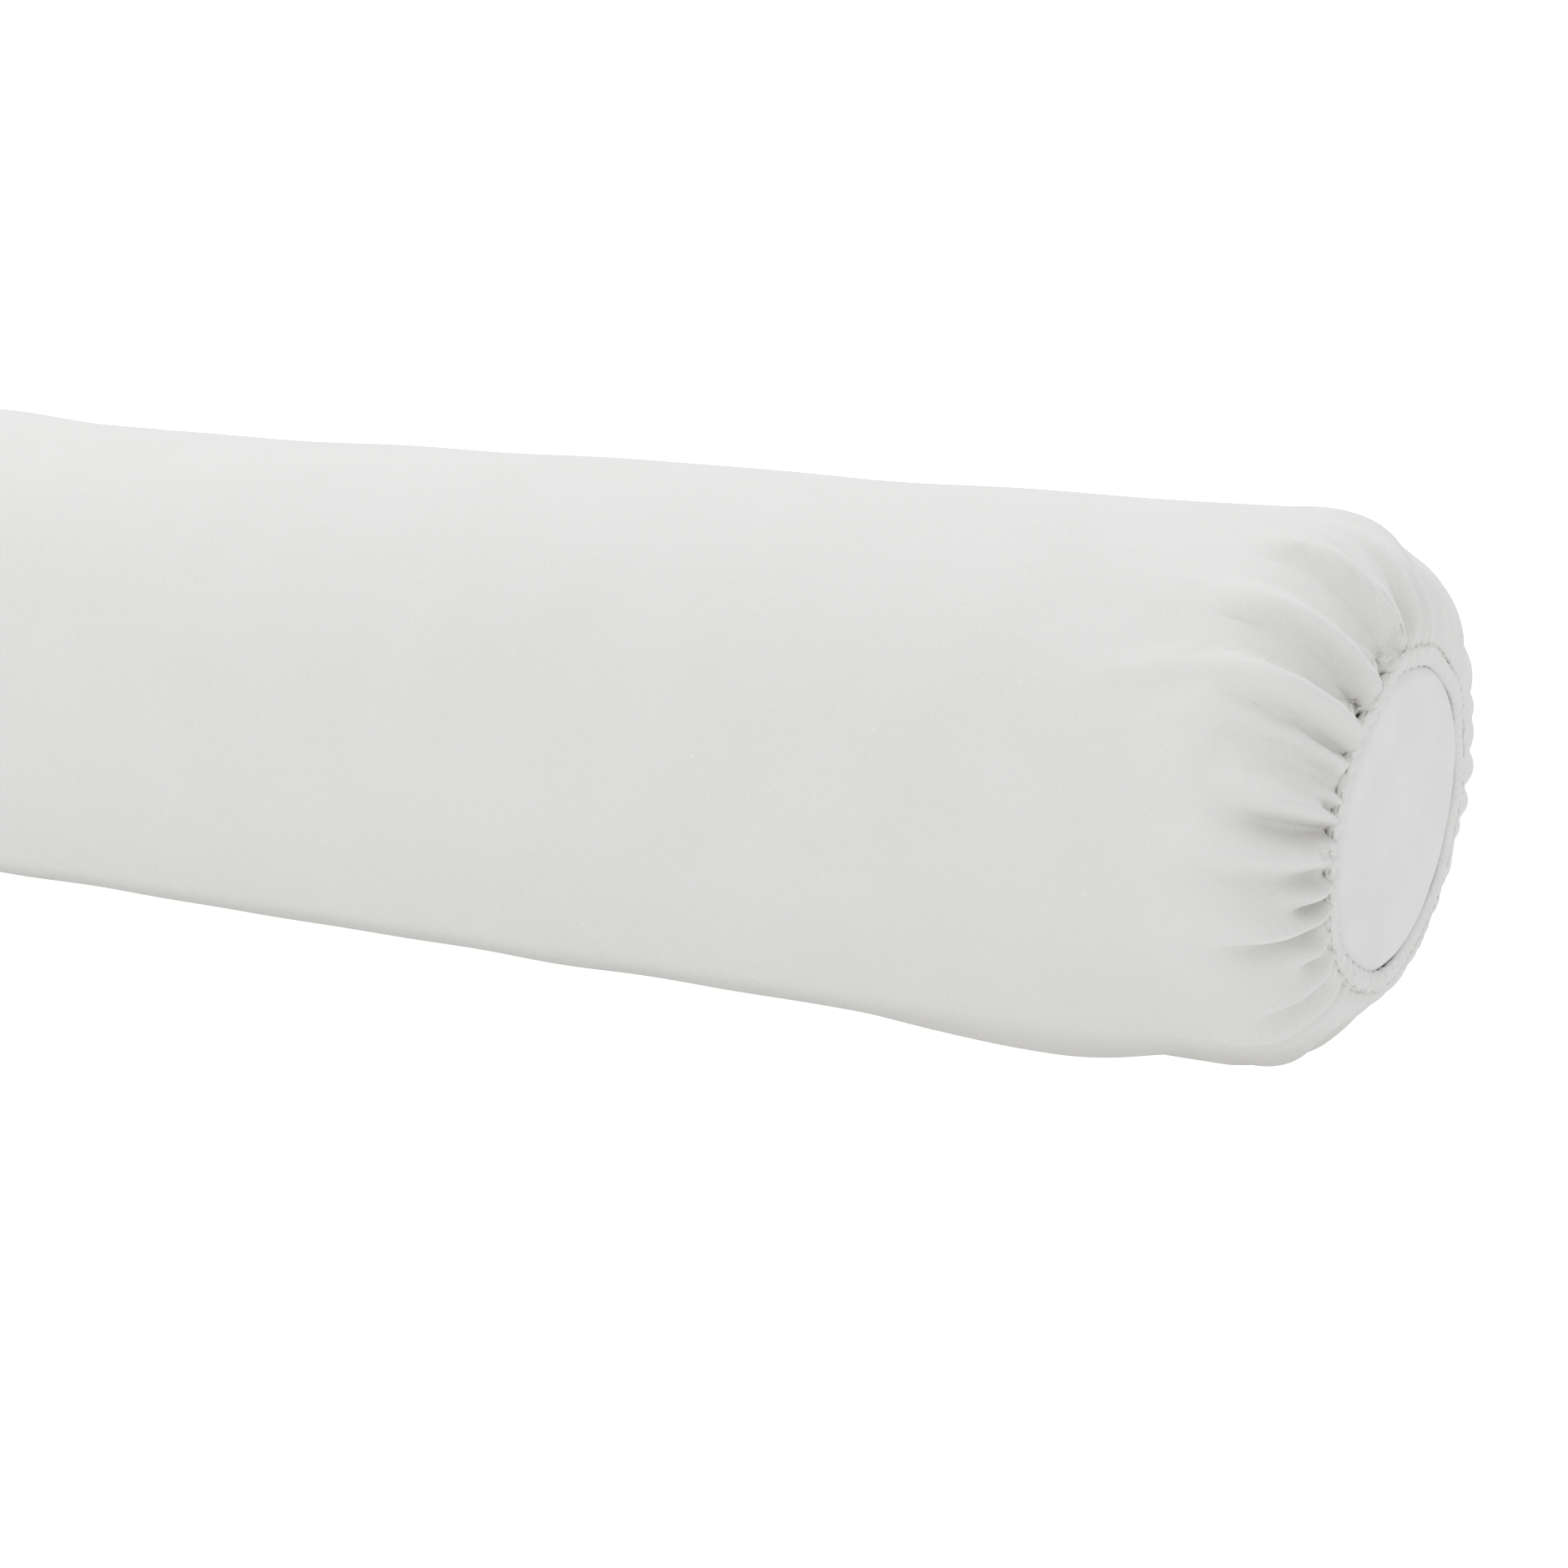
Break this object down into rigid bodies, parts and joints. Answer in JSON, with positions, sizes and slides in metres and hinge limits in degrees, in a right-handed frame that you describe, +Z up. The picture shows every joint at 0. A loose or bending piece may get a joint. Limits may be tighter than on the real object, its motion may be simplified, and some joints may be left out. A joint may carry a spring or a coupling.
{
  "type": "massage bolster",
  "caption": "Long round massage bolster with rounded ends, in a loose brushed-cloth cover gathered by elastic into a round opening at each end.",
  "frame": {"origin": "on the table, under the middle of the bolster", "axes": "+X along the bolster towards its right end, -Y to its front, where the inner zip is, +Z up"},
  "size_m": [0.661, 0.15, 0.144],
  "materials": {
    "foam": "matte, open-cell polyurethane foam",
    "wadding": "matte, loose polyester fibre",
    "skin": "satin, fine-grained artificial leather",
    "thread": "polyester sewing thread",
    "zip_tape": "woven polyester tape",
    "zip_teeth": "satin moulded plastic",
    "zip_stop": "satin",
    "zip_metal": "satin plated",
    "cover_cloth": "matte, brushed cotton flannel",
    "elastic": "matte, braided over rubber cores",
    "label": "satin ribbon"
  },
  "bodies": {
    "roll": {"foam_core": "foam", "wadding_wrap": "wadding", "skin_tube_panel": "skin", "skin_end_panel_right": "skin", "skin_end_panel_left": "skin", "end_seam_stitching_right": "thread", "end_seam_stitching_left": "thread", "zip_tape_upper": "zip_tape", "zip_tape_lower": "zip_tape", "zip_teeth_upper": "zip_teeth", "zip_teeth_lower": "zip_teeth", "zip_top_stops": "zip_stop", "zip_bottom_stop": "zip_stop", "zip_stitching": "thread"},
    "zip_slider": {"zip_slider": "zip_metal"},
    "zip_pull": {"zip_pull_tab": "zip_metal"},
    "cover": {"cover_tube": "cover_cloth", "cover_seam_allowance": "cover_cloth", "cover_seam_stitching": "thread", "care_label": "label", "hem_casing_right": "cover_cloth", "hem_casing_left": "cover_cloth", "hem_elastic_right": "elastic", "hem_elastic_left": "elastic", "hem_stitching_right": "thread", "hem_stitching_left": "thread"}
  },
  "joints": [
    {"name": "cover_pull_off", "type": "slide", "parent": "roll", "child": "cover", "axis": [1, 0, 0], "range_m": [0, 0.7], "deforming": ["cover_tube", "cover_seam_allowance", "cover_seam_stitching", "care_label", "hem_casing_right", "hem_casing_left", "hem_elastic_right", "hem_elastic_left", "hem_stitching_right", "hem_stitching_left"]},
    {"name": "zip_slide", "type": "slide", "parent": "roll", "child": "zip_slider", "axis": [-1, 0, 0], "range_m": [0, 0.471], "deforming": ["zip_teeth_upper", "zip_teeth_lower"]},
    {"name": "zip_pull_swing", "type": "hinge", "parent": "zip_slider", "child": "zip_pull", "pos_m": [0.236, -0.04972, 0.01378], "axis": [0, -0.7431, 0.6691], "range_deg": [0, 180]}
  ]
}
